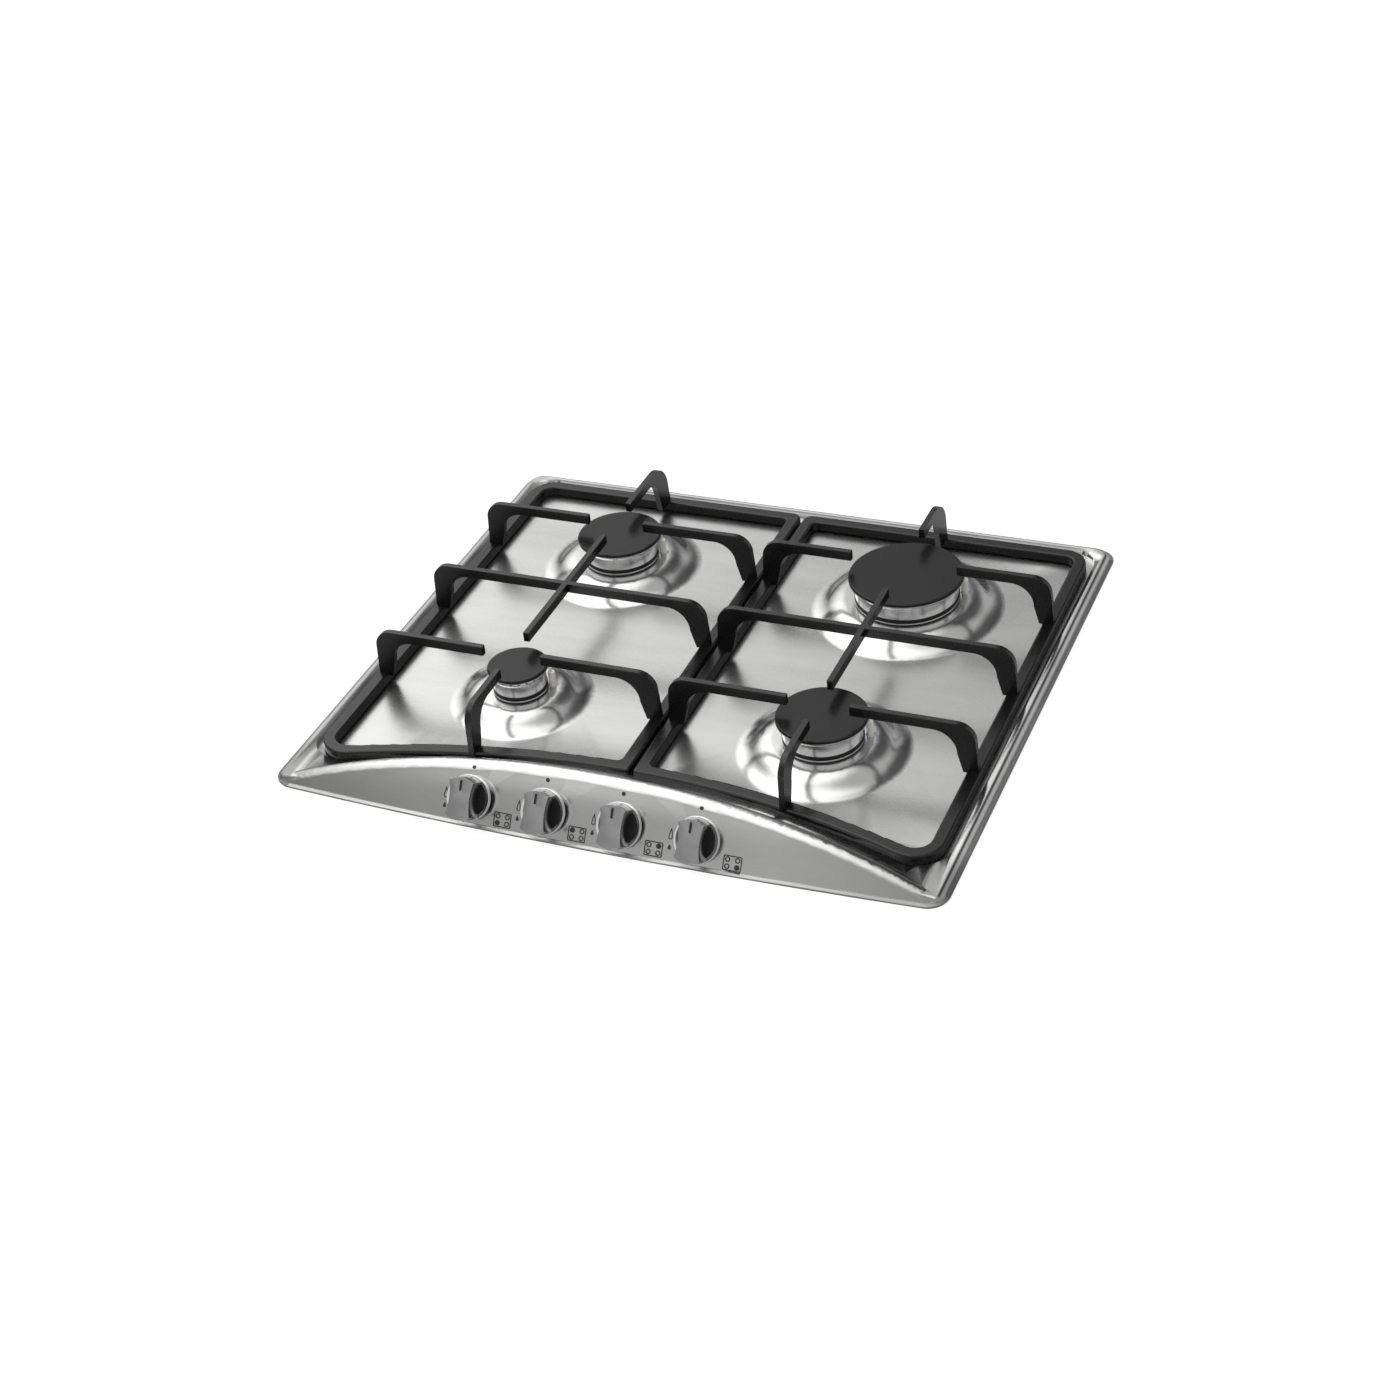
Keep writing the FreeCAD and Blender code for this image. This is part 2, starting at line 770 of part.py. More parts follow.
def make_support(side, back_tip):
    x0 = side * cell_centre
    near, far = x0 - side * support_half_width, x0 + side * support_half_width
    low, high = min(near, far), max(near, far)
    outer_big, outer_small, front_small, front_big = 22.0, 9.0, 3.0, 25.0
    if side > 0:
        outer = (front_small, outer_small, outer_big, front_big)
    else:
        outer = (front_big, outer_big, outer_small, front_small)
    inner = tuple(max(r - bar_width, 4.5) for r in outer)
    frame = arched_prism(low, high, support_back, arch_radius - bar_width, bar_bottom_z, bar_top_z, outer)
    window = arched_prism(
        low + bar_width, high - bar_width, support_back - bar_width, arch_radius,
        bar_bottom_z - 1, bar_top_z + 1, inner)
    frame = frame.cut(window)
    frame = round_level_edges(frame, bar_top_z, bar_edge_rounding)
    for place in foot_places(side):
        hole = cylinder(foot_peg_radius + peg_clearance, bar_bottom_z - 1, bar_bottom_z + foot_peg_length + 0.5, place)
        frame = frame.cut(hole)
    side_outer = support_half_width - drop_inset
    fingers = []
    size = (drop_outer_radius, drop_inner_radius, drop_width)
    for y, tip in ((row_back, back_tip), (row_middle, finger_width / 2), (row_front, small_tip_distance)):
        for turn in (0, 180):
            fingers.append(finger(tip, side_outer, *size, (x0, y), turn))
    back_outer = support_back - row_back - rear_drop_inset
    fingers.append(finger(
        back_tip, back_outer, rear_drop_outer_radius, drop_inner_radius, drop_width + 6, (x0, row_back), 90))
    front_outer = row_front - support_front_bar(x0) - front_drop_inset
    fingers.append(finger(small_tip_distance, front_outer, *size, (x0, row_front), -90))
    spine = block(
        x0 - finger_width / 2, x0 + finger_width / 2, row_front + small_tip_distance, row_back - back_tip,
        finger_bottom_z, finger_top_z)
    pieces = frame_bars(frame, low, high)
    pieces += [piece.cut(frame) for piece in fingers]
    pieces.append(spine)
    return Part.makeCompound(pieces)


def frame_bars(frame, low, high):
    """The four bars of the frame, parted at the mitres of its corners."""
    z0, z1 = bar_bottom_z - 2, bar_top_z + 2
    front_low, front_high = support_front_bar(low), support_front_bar(high)
    inner_low, inner_high = arch_y(low + bar_width, arch_radius), arch_y(high - bar_width, arch_radius)
    back, inner_back = support_back, support_back - bar_width
    low_corners = [(low, back), (low + bar_width, inner_back), (low + bar_width, inner_low), (low, front_low)]
    high_corners = [(high, back), (high - bar_width, inner_back), (high - bar_width, inner_high), (high, front_high)]
    bars = []
    sides = []
    for corners in (low_corners, high_corners):
        outline = [Vector(x, y, z0) for x, y in corners]
        sides.append(Part.Face(Part.makePolygon(outline + outline[:1])).extrude(Vector(0, 0, z1 - z0)))
    for prism in sides:
        bars.append(frame.common(prism))
    rest = frame.cut(sides[0]).cut(sides[1])
    bars += rest.Solids
    return bars


def foot_places(side):
    x0 = side * cell_centre
    middle = support_half_width - bar_width / 2
    back = support_back - bar_width / 2
    places = [(x0 - middle, row_middle), (x0 + middle, row_middle)]
    places += [(x0 - 70, back), (x0 + 70, back)]
    for x in (x0 - 70, x0 + 70):
        places.append((x, arch_y(x, arch_radius - bar_width / 2)))
    return places


def make_feet(side):
    feet = []
    for place in foot_places(side):
        pad = cylinder(foot_radius, floor_z, bar_bottom_z, place)
        peg = cylinder(foot_peg_radius, bar_bottom_z, bar_bottom_z + foot_peg_length, place)
        feet.append(pad.fuse(peg))
    return Part.makeCompound(feet)


# ---- knobs and taps, built along +Z with zero on the console face ----
def make_knob():
    z0 = knob_gap
    skirt_top = z0 + skirt_height
    top = z0 + knob_height
    body = cylinder(knob_radius, z0, top)
    body = round_level_edges(body, top, 1.5)
    cut_centre = grip_half_width + grip_side_radius
    for side in (-1, 1):
        scoop = cylinder(grip_side_radius, skirt_top, top + 1, (side * cut_centre, 0))
        body = body.cut(scoop)
        dish = cylinder(grip_side_radius, skirt_top - dish_depth, skirt_top + 1, (side * (cut_centre + 1.5), 0))
        dish = dish.common(cylinder(knob_radius - skirt_rim, skirt_top - dish_depth, skirt_top + 1))
        body = body.cut(dish)
    hub = cylinder(knob_radius - skirt_rim, z0 - 1, z0 + skirt_height - dish_depth - 1.5)
    body = body.cut(hub.cut(cylinder(spindle_radius + 3, z0 - 2, z0 + knob_height)))
    bore = spindle_shape(z0 - 1, z0 + spindle_in_knob + 0.3, fit_clearance / 2)
    return body.cut(bore)


def spindle_shape(start, end, extra):
    """D-shaped spindle: a round bar with one flat."""
    bar = cylinder(spindle_radius + extra, start, end)
    flat = spindle_flat + extra
    return bar.cut(block(-10, 10, flat, 10, start - 1, end + 1))


def make_spindle():
    end = knob_gap + spindle_in_knob
    start = -plug_start - spindle_engagement
    upper = spindle_shape(-cover_start + 2, end, 0)
    lower = cylinder(spindle_radius, start, -cover_start + 2)
    collar_top = -cover_start - cover_thickness - 0.1
    collar = cylinder(collar_radius, collar_top - collar_thickness, collar_top)
    return fuse_all([upper, lower, collar])


def make_spring():
    bottom = -plug_start
    top = -cover_start - cover_thickness - 0.1 - collar_thickness
    return ring(spring_radius, spring_radius - spring_wire, bottom, top)


def make_plug():
    length = plug_end - plug_start
    plug = Part.makeCone(plug_small_radius, plug_big_radius, length, Vector(0, 0, -plug_end))
    plug = plug.cut(cylinder(spindle_radius + fit_clearance / 2, -plug_start - socket_depth, -plug_start + 1))
    plug = plug.cut(cylinder(plug_port_radius, -plug_end - 1, -outlet_distance() + 1))
    port = rod(Vector(0, 0, -outlet_distance()), Vector(0, 1, 0), plug_port_radius, plug_big_radius + 2)
    return plug.cut(port)


def outlet_distance():
    """How far behind the face the outlet lies, so that it meets the pipe level."""
    return (face_point(0, knob_up_face).z - pipe_z) / math.cos(TILT)


def outlet_side(name):
    return -1 if name.endswith("left") else 1


def make_tap_body(name):
    body = cylinder(tap_radius, -tap_end, -cover_start - cover_thickness)
    body = body.fuse(cylinder(cover_radius, -cover_start - cover_thickness, -cover_start))
    rail_top = -rail_distance + rail_radius
    body = body.fuse(cylinder(shoulder_radius, rail_top, -tap_end))
    body = body.fuse(cylinder(stub_radius, rail_top - stub_depth, rail_top))
    side = outlet_side(name)
    boss = rod(Vector(0, 0, -outlet_distance()), Vector(side, 0, 0), outlet_radius, outlet_reach)
    body = body.fuse(boss)
    chamber = cylinder(collar_radius + 0.8, -plug_start, -cover_start - cover_thickness)
    bore_small = plug_small_radius + plug_clearance
    bore_big = plug_big_radius + plug_clearance
    seat = Part.makeCone(bore_small, bore_big, plug_end - plug_start, Vector(0, 0, -plug_end))
    bottom = cylinder(bore_small, -plug_end - 0.3, -plug_end)
    guide = cylinder(spindle_radius + fit_clearance, -cover_start - cover_thickness - 1, -cover_start + 1)
    supply = cylinder(plug_port_radius, rail_top - stub_depth - 1, -plug_end)
    outlet = rod(Vector(0, 0, -outlet_distance()), Vector(side, 0, 0), plug_port_radius, outlet_reach + 1)
    for hollow in (chamber, seat, bottom, guide, supply, outlet):
        body = body.cut(hollow)
    return body.removeSplitter()


# ---- gas rail, feed pipes and inlet ----
def bent_pipe(points, radius, bend):
    """Pipe of straight runs joined by round bends in one level plane."""
    edges = []
    start = points[0]
    for i in range(1, len(points) - 1):
        before, corner, after = points[i - 1], points[i], points[i + 1]
        way_in = (corner - before).normalize()
        way_out = (after - corner).normalize()
        a = corner - way_in * bend
        b = corner + way_out * bend
        inward = (way_out - way_in).normalize()
        centre = corner + inward * bend * math.sqrt(2)
        middle = centre - inward * bend
        edges.append(Part.makeLine(start, a))
        edges.append(Part.Arc(a, middle, b).toShape())
        start = b
    edges.append(Part.makeLine(start, points[-1]))
    path = Part.Wire(edges)
    way = (points[1] - points[0]).normalize()
    circle = Part.Wire(Part.Circle(points[0], way, radius).toShape())
    return path.makePipeShell([circle], True, False)


def rail_point(x):
    return face_point(x, knob_up_face, -rail_distance)


def make_gas_rail():
    z = rail_point(0).z
    y = rail_point(0).y
    wall_y = tray_back - notch_depth
    points = [Vector(rail_left_end, y, z), Vector(rail_right, y, z), Vector(rail_right, wall_y, z)]
    rail = bent_pipe(points, rail_radius, rail_bend)
    bore_points = [Vector(rail_left_end + 3, y, z), Vector(rail_right, y, z), Vector(rail_right, wall_y + 1, z)]
    rail = rail.cut(bent_pipe(bore_points, rail_radius - rail_wall, rail_bend))
    for x in knob_places:
        hole = cylinder(stub_radius + 0.02, -rail_distance, -rail_distance + rail_radius + 1)
        rail = rail.cut(tilted(hole, x))
    return rail


def pipe_points(name):
    x, y = BURNERS[name][0], BURNERS[name][1]
    knob_x = knob_places[KNOB_NAMES.index(name)]
    tap = face_point(knob_x, knob_up_face, -outlet_distance())
    start = Vector(knob_x + outlet_side(name) * outlet_reach, tap.y, pipe_z)
    boss_end = Vector(x, y, pipe_z) + inlet_way(name) * boss_reach
    if name.startswith("front"):
        return [start, Vector(x, tap.y, pipe_z), boss_end]
    lane = pipe_back_left if name.endswith("left") else pipe_back_right
    return [start, Vector(lane, tap.y, pipe_z), Vector(lane, y, pipe_z), boss_end]


def make_feed_pipe(name):
    points = pipe_points(name)
    pipe = bent_pipe(points, pipe_radius, pipe_bend)
    return pipe.cut(bent_pipe(points, pipe_bore_radius, pipe_bend))


def make_pipe_nuts():
    nuts = []
    for name in KNOB_NAMES:
        points = pipe_points(name)
        for end, inner in ((points[0], points[1]), (points[-1], points[-2])):
            way = (inner - end).normalize()
            nut = hexagon(nut_radius, 0, nut_length).cut(cylinder(pipe_radius, -1, nut_length + 1))
            turn = FreeCAD.Rotation(Vector(0, 0, 1), way)
            nut.Placement = FreeCAD.Placement(end, turn)
            nuts.append(nut)
    return Part.makeCompound(nuts)


def make_inlet():
    z = rail_point(0).z
    wall_y = tray_back - notch_depth
    flange = rod(Vector(rail_right, wall_y + tray_sheet, z), Vector(0, 1, 0), inlet_body_radius + 2, 3.0)
    reach = inlet_setback - tray_sheet
    run = rod(Vector(rail_right, wall_y + tray_sheet, z), Vector(0, 1, 0), inlet_body_radius, reach)
    corner = Vector(rail_right, wall_y + inlet_setback, z)
    ball = Part.makeSphere(inlet_body_radius, corner)
    end_z = inlet_end_height
    leg = cylinder(inlet_body_radius, end_z + inlet_thread_length, z, (corner.x, corner.y))
    thread = cylinder(inlet_thread_radius, end_z, end_z + inlet_thread_length, (corner.x, corner.y))
    tail = rod(Vector(rail_right, wall_y - 4, z), Vector(0, 1, 0), rail_radius - rail_wall - 0.02, 6)
    body = fuse_all([flange, run, ball, leg, thread, tail])
    bore = cylinder(inlet_bore_radius, end_z - 1, z, (corner.x, corner.y))
    cross = rod(Vector(rail_right, wall_y - 5, z), Vector(0, 1, 0), inlet_bore_radius - 1, inlet_setback + 5)
    return body.cut(bore).cut(cross)


# ---- bottom tray, clamps, seal ----
def tray_prism(inset, z0, z1):
    """Outline of the tray with the notch for the gas inlet at the back right."""
    x = tray_half_width - inset
    y0, y1 = tray_front + inset, tray_back - inset
    nx = tray_half_width - notch_width - inset
    ny = tray_back - notch_depth - inset
    points = [(-x, y0), (x, y0), (x, ny), (nx, ny), (nx, y1), (-x, y1)]
    outline = [Vector(a, b, z0) for a, b in points]
    outline.append(outline[0])
    body = Part.Face(Part.makePolygon(outline)).extrude(Vector(0, 0, z1 - z0))
    radius = tray_corner_radius - inset
    corners = [(-x, y0, radius), (x, y0, radius), (-x, y1, radius)]
    return round_upright_edges(body, corners)


def rail_cradle(x):
    """Upright welded to the tray floor that carries the gas rail."""
    z = rail_point(0).z
    y = rail_point(0).y
    post = block(x - 8, x + 8, y - rail_radius - 2, y + rail_radius + 2, tray_sheet / 2, z)
    post = post.cut(block(x - 9, x + 9, y - rail_radius, y + rail_radius, tray_sheet + 2, z - rail_radius - 1))
    channel = rod(Vector(x - 10, y, z), Vector(1, 0, 0), rail_radius + 0.05, 20)
    return post.cut(channel)


def make_tray():
    top = floor_z - steel_sheet
    tray = tray_prism(0, 0, top).cut(tray_prism(tray_sheet, tray_sheet, top + 1))
    z = rail_point(0).z
    wall_y = tray_back - notch_depth
    tray = tray.cut(rod(Vector(rail_right, wall_y - 5, z), Vector(0, 1, 0), rail_radius + 0.3, 10))
    for x, y, inward in bracket_list():
        start = Vector(x, y, tray_screw_height()) - inward * (tray_sheet + 1)
        tray = tray.cut(rod(start, inward, screw_radius + 0.2, tray_sheet + 2))
    for side, y in clamp_list():
        start = Vector(side * (tray_half_width - tray_sheet - 1), y, clamp_screw_height())
        tray = tray.cut(rod(start, Vector(side, 0, 0), screw_radius, tray_sheet + 2))
    gland_hole = rod(Vector(gland_place, tray_back - 3, gland_height), Vector(0, 1, 0), gland_radius + 0.2, 5)
    tray = tray.cut(gland_hole)
    for x in (knob_first - cradle_overhang, rail_right - cradle_inset):
        tray = tray.fuse(rail_cradle(x))
    for i in range(vent_count):
        x = vent_pitch * (i - (vent_count - 1) / 2)
        y0, y1 = vent_place - vent_length / 2, vent_place + vent_length / 2
        tray = tray.cut(block(x - vent_width / 2, x + vent_width / 2, y0, y1, -1, tray_sheet + 1))
    return tray.removeSplitter()


def make_case_screws():
    """Tray screws through the tray wall into the brackets, and clamp screws."""
    screws = clamp_screws()
    for x, y, inward in bracket_list():
        outer = Vector(x, y, tray_screw_height()) - inward * tray_sheet
        shank = rod(outer, inward, screw_radius, tray_screw_length)
        head = rod(outer - inward * screw_head_height, inward, screw_head_radius, screw_head_height)
        screws.append(shank.fuse(head))
    return Part.makeCompound(screws)


def clamp_list():
    places = (tray_front + clamp_front_distance, tray_back - clamp_back_distance)
    return [(side, y) for y in places for side in (-1, 1)]


def clamp_foot_height():
    return worktop_level - worktop_thickness


def clamp_screw_height():
    return clamp_foot_height() + clamp_height / 2


def make_clamps():
    clamps = []
    for side, y in clamp_list():
        z = clamp_foot_height()
        y0, y1 = y - clamp_width / 2, y + clamp_width / 2
        leaf = block(0, clamp_sheet, y0, y1, z - clamp_sheet, z + clamp_height - 4)
        foot = block(0, clamp_reach, y0, y1, z - clamp_sheet, z)
        clamp = leaf.fuse(foot)
        slot = rod(Vector(-1, y, clamp_screw_height()), Vector(1, 0, 0), screw_radius + 0.2, clamp_sheet + 2)
        clamp = clamp.cut(slot)
        if side < 0:
            clamp = clamp.mirror(Vector(0, 0, 0), Vector(1, 0, 0))
        clamp.translate(Vector(side * tray_half_width, 0, 0))
        clamps.append(clamp)
    return Part.makeCompound(clamps)


def clamp_screws():
    screws = []
    for side, y in clamp_list():
        way = Vector(-side, 0, 0)
        outer = Vector(side * (tray_half_width + clamp_sheet), y, clamp_screw_height())
        shank = rod(outer, way, screw_radius - 0.02, tray_screw_length)
        head = rod(outer - way * screw_head_height, way, screw_head_radius, screw_head_height)
        screws.append(shank.fuse(head))
    return screws


def make_seal():
    top = worktop_level + lip_underside
    seal = plate_prism(seal_inset, worktop_level, top)
    return seal.cut(plate_prism(seal_inset + seal_width, worktop_level - 1, top + 1))


def make_spark_unit():
    wx, wy, wz = spark_unit_size
    x, y = spark_unit_left, tray_back - spark_unit_inset
    box = block(x, x + wx, y, y + wy, tray_sheet, tray_sheet + wz)
    box = round_level_edges(box, tray_sheet + wz, 2.0)
    for i in range(4):
        place = (x + 10 + 14 * i, y + 9)
        z = tray_sheet + wz
        box = box.fuse(cylinder(terminal_radius, z, z + terminal_length, place))
    return box


def make_gland():
    start = Vector(gland_place, tray_back, gland_height)
    way = Vector(0, 1, 0)
    turn = FreeCAD.Rotation(Vector(0, 0, 1), way)
    collar = hexagon(gland_hex, 0, 4)
    sleeve = cylinder(gland_radius - 1, 4, gland_length)
    tail = cylinder(gland_radius, -tray_sheet - 8, 0)
    gland = fuse_all([collar, sleeve, tail])
    gland = gland.cut(cylinder(gland_bore, -tray_sheet - 9, gland_length + 1))
    lock = hexagon(gland_hex, -tray_sheet - 4, -tray_sheet)
    gland = gland.fuse(lock.cut(cylinder(gland_radius - 0.5, -tray_sheet - 5, 0)))
    gland.Placement = FreeCAD.Placement(start, turn)
    return gland


# ---- write every piece ----
os.makedirs("parts", exist_ok=True)
save("top_plate", make_top_plate())
save("plate_brackets", make_brackets())
save("bottom_tray", make_tray())
save("rim_seal", make_seal())
save("pan_support_left", make_support(-1, small_tip_distance))
save("pan_support_right", make_support(1, rapid_tip_distance))
save("support_feet_left", make_feet(-1))
save("support_feet_right", make_feet(1))
for burner in BURNERS:
    save("burner_cap_" + burner, make_cap(burner))
    save("burner_head_" + burner, make_head(burner))
    save("burner_cup_" + burner, make_cup(burner))
    save("injector_" + burner, make_injector(burner))
    save("igniter_" + burner, make_igniter(burner))
    save("feed_pipe_" + burner, make_feed_pipe(burner))
save("burner_screws", make_burner_screws())
for place, burner in zip(knob_places, KNOB_NAMES):
    save("control_knob_" + burner, tilted(make_knob(), place))
    save("tap_spindle_" + burner, tilted(make_spindle(), place))
    save("tap_spring_" + burner, tilted(make_spring(), place))
    save("tap_plug_" + burner, tilted(make_plug(), place))
    save("tap_body_" + burner, tilted(make_tap_body(burner), place))
save("gas_rail", make_gas_rail())
save("inlet_elbow", make_inlet())
save("pipe_nuts", make_pipe_nuts())
save("case_screws", make_case_screws())
save("worktop_clamps", make_clamps())
save("spark_unit", make_spark_unit())
save("cord_gland", make_gland())
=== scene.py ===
import bpy
import math
from mathutils import Matrix, Vector


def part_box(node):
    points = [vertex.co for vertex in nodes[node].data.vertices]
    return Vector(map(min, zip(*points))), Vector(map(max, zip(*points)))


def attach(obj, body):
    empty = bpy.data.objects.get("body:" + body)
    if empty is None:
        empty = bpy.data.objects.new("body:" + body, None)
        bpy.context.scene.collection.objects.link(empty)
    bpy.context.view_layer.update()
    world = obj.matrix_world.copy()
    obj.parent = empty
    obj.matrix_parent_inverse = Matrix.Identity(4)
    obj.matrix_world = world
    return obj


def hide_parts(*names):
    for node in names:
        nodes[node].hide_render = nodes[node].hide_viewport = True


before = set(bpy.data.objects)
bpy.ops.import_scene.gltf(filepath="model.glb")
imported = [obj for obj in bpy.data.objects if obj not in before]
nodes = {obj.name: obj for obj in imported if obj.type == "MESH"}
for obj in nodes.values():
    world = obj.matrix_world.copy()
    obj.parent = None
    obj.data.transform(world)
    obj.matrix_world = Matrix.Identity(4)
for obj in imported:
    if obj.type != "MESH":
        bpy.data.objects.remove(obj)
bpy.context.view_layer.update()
mm = 0.001
bpy.ops.object.select_all(action="DESELECT")
bpy.context.view_layer.objects.active = None

# ---- Worktop, camera and studio ----
# The hob hangs in a cut-out of a pale worktop, so only what stands above the
# worktop shows, as in the photograph. The studio is one white room whose walls
# have bright and dark patches for the metal to mirror, and two soft lamps.
worktop_z = 50.2 * mm       # 0.2 mm over the plane that the foam tape sits on
cutout = (561 * mm, 481 * mm)
cutout_middle = -4 * mm
worktop_spread = (16, 18, 1)
bpy.ops.mesh.primitive_plane_add(size=1, location=(0, cutout_middle, worktop_z))
worktop = bpy.context.object
worktop.name = "worktop"
worktop.scale = (cutout[0], cutout[1], 1)
bpy.ops.object.transform_apply(location=True, rotation=True, scale=True)
bpy.ops.object.mode_set(mode="EDIT")
bpy.ops.mesh.select_all(action="SELECT")
bpy.ops.mesh.delete(type="ONLY_FACE")
bpy.ops.mesh.select_all(action="SELECT")
bpy.ops.mesh.extrude_edges_move()
bpy.ops.transform.resize(value=worktop_spread)
bpy.ops.mesh.select_all(action="SELECT")
bpy.ops.mesh.normals_make_consistent(inside=False)
bpy.ops.object.mode_set(mode="OBJECT")
if worktop.data.polygons[0].normal.z < 0:
    worktop.data.flip_normals()


class Wire:
    """One value in a finish, with ordinary arithmetic."""

    def __init__(self, finish, socket):
        self.finish = finish
        self.socket = socket

    def sum_of(self, operation, a, b):
        return self.finish.node("ShaderNodeMath", {"operation": operation}, {0: a, 1: b})

    def __add__(self, other):
        return self.sum_of("ADD", self, other)

    def __radd__(self, other):
        return self.sum_of("ADD", other, self)

    def __sub__(self, other):
        return self.sum_of("SUBTRACT", self, other)

    def __rsub__(self, other):
        return self.sum_of("SUBTRACT", other, self)

    def __mul__(self, other):
        return self.sum_of("MULTIPLY", self, other)

    def __rmul__(self, other):
        return self.sum_of("MULTIPLY", other, self)

    def __truediv__(self, other):
        return self.sum_of("DIVIDE", self, other)

    def __rtruediv__(self, other):
        return self.sum_of("DIVIDE", other, self)


class Finish:
    """A material of the hob, built on Object coordinates in metres."""

    def __init__(self, name, kind="materials", output="ShaderNodeOutputMaterial"):
        self.material = getattr(bpy.data, kind).new(name)
        self.material.use_nodes = True
        self.tree = self.material.node_tree
        self.tree.nodes.clear()
        self.out = self.tree.nodes.new(output)

    def node(self, kind, settings=None, sockets=None, output=0):
        made = self.tree.nodes.new(kind)
        for key, value in (settings or {}).items():
            if key == "stops":
                ramp = made.color_ramp
                while len(ramp.elements) < len(value):
                    ramp.elements.new(0.5)
                for element, (place, colour) in zip(ramp.elements, value):
                    element.position = place
                    element.color = colour
            else:
                setattr(made, key, value)
        for key, value in (sockets or {}).items():
            if isinstance(value, Wire):
                self.tree.links.new(value.socket, made.inputs[key])
            elif value is not None:
                made.inputs[key].default_value = value
        return Wire(self, made.outputs[output])

    def place(self, scale=(1, 1, 1)):
        here = self.node("ShaderNodeTexCoord", output="Object")
        return self.node("ShaderNodeMapping", {}, {"Vector": here, "Scale": scale})

    def axis(self, name):
        here = self.node("ShaderNodeTexCoord", output="Object")
        return self.node("ShaderNodeSeparateXYZ", {}, {0: here}, output=name)

    def grain(self, scale, stretch=(1, 1, 1), detail=3.0, rough=0.5):
        return self.node(
            "ShaderNodeTexNoise", {},
            {"Vector": self.place(stretch), "Scale": scale, "Detail": detail, "Roughness": rough})

    def ramp(self, value, low, high):
        """0 at low and 1 at high, held outside them."""
        return self.node("ShaderNodeMapRange", {}, {"Value": value, "From Min": low, "From Max": high})

    def blend(self, mask, a, b):
        return self.node("ShaderNodeMix", {"data_type": "RGBA"}, {0: mask, 6: a, 7: b}, output=2)

    def bump(self, height, strength, distance):
        return self.node(
            "ShaderNodeBump", {}, {"Height": height, "Strength": strength, "Distance": distance})

    def shader(self, kind, sockets):
        return self.node(kind, {}, sockets)

    def close(self, shader):
        self.tree.links.new(shader.socket, self.out.inputs["Surface"])
        return self.material

    def shade(self, **values):
        """Close the finish with the main shader; names use _ for a space."""
        sockets = {key.replace("_", " "): value for key, value in values.items()}
        return self.close(self.node("ShaderNodeBsdfPrincipled", {}, sockets))


def grey(value, tint=(1, 1, 1)):
    return (value * tint[0], value * tint[1], value * tint[2], 1)


paper = Finish("worktop_white")
lit = paper.shader("ShaderNodeBsdfDiffuse", {"Color": grey(0.34)})
eye = paper.node("ShaderNodeLightPath", output="Is Camera Ray")
mirror = paper.node("ShaderNodeLightPath", output="Is Glossy Ray")
through = paper.node("ShaderNodeLightPath", output="Is Transmission Ray")
glow = paper.shader(
    "ShaderNodeEmission", {"Color": grey(1.0), "Strength": 0.78 * (eye + through) + 0.22 * mirror})
both = paper.shader("ShaderNodeAddShader", {0: lit, 1: glow})
worktop.data.materials.append(paper.close(both))

scene = bpy.context.scene
scene.view_settings.view_transform = "Standard"
studio = Finish("studio", "worlds", "ShaderNodeOutputWorld")
scene.world = studio.material
sky = studio.node("ShaderNodeTexCoord", output="Generated")


def patch(aim, narrow, wide):
    """Soft round patch of the studio wall in one direction."""
    aim = Vector(aim).normalized()
    near = studio.node("ShaderNodeVectorMath", {"operation": "DOT_PRODUCT"}, {0: sky, 1: aim}, output="Value")
    return studio.node(
        "ShaderNodeMapRange", {"interpolation_type": "SMOOTHSTEP"},
        {"Value": near, "From Min": math.cos(math.radians(wide)), "From Max": math.cos(math.radians(narrow))})


walls = 0.64 + 1.55 * patch((-0.58, 0.60, 0.56), 6, 36) + 1.5 * patch((-0.36, -0.02, 0.93), 6, 44)
dark_patches = (        # share of light taken off, direction, inner and outer angle
    (0.45, (-0.15, 0.85, 0.50), 4, 22),
    (0.84, (0.16, 0.72, 0.68), 8, 27),
    (0.62, (-0.36, 0.93, 0.10), 8, 36),
    (0.50, (-0.95, 0.20, 0.05), 10, 46),
    (0.30, (-0.75, -0.65, 0.20), 8, 34))
for dimming, aim, narrow, wide in dark_patches:
    walls = walls * (1 - dimming * patch(aim, narrow, wide))
seen = studio.node("ShaderNodeLightPath", output="Is Camera Ray")
mirrored = studio.node("ShaderNodeLightPath", output="Is Glossy Ray")
through = studio.node("ShaderNodeLightPath", output="Is Transmission Ray")
strength = 0.75 + 0.25 * (seen + through) + mirrored * (walls - 0.75)
light = studio.shader("ShaderNodeBackground", {"Color": grey(1.0), "Strength": strength})
studio.close(light)

# The camera is the fit to the photograph's edges, burners and finger rows.
image_size = 1400
lens_in_pixels = 2450.93
sensor = 36
plate_middle, plate_level = 4, 50       # the fit's origin in the part's frame, mm
camera_turn = math.radians(26.04)
camera_rise = math.radians(35.29)
camera_roll = math.radians(-6.43)
camera_distance = 2062.42 * mm
camera_aim = Vector((10.29, -50.32 + plate_middle, plate_level)) * mm
back = Vector((
    math.sin(camera_turn) * math.cos(camera_rise),
    -math.cos(camera_turn) * math.cos(camera_rise),
    math.sin(camera_rise)))
side = Vector((math.cos(camera_turn), math.sin(camera_turn), 0))
upward = back.cross(side)
right = math.cos(camera_roll) * side + math.sin(camera_roll) * upward
top = -math.sin(camera_roll) * side + math.cos(camera_roll) * upward
bpy.ops.object.camera_add()
camera = bpy.context.object
camera.data.lens = lens_in_pixels / image_size * sensor
camera.data.sensor_width = sensor
camera.matrix_world = Matrix.Translation(camera_aim + back * camera_distance) @ Matrix((
    (right.x, top.x, back.x), (right.y, top.y, back.y), (right.z, top.z, back.z))).to_4x4()
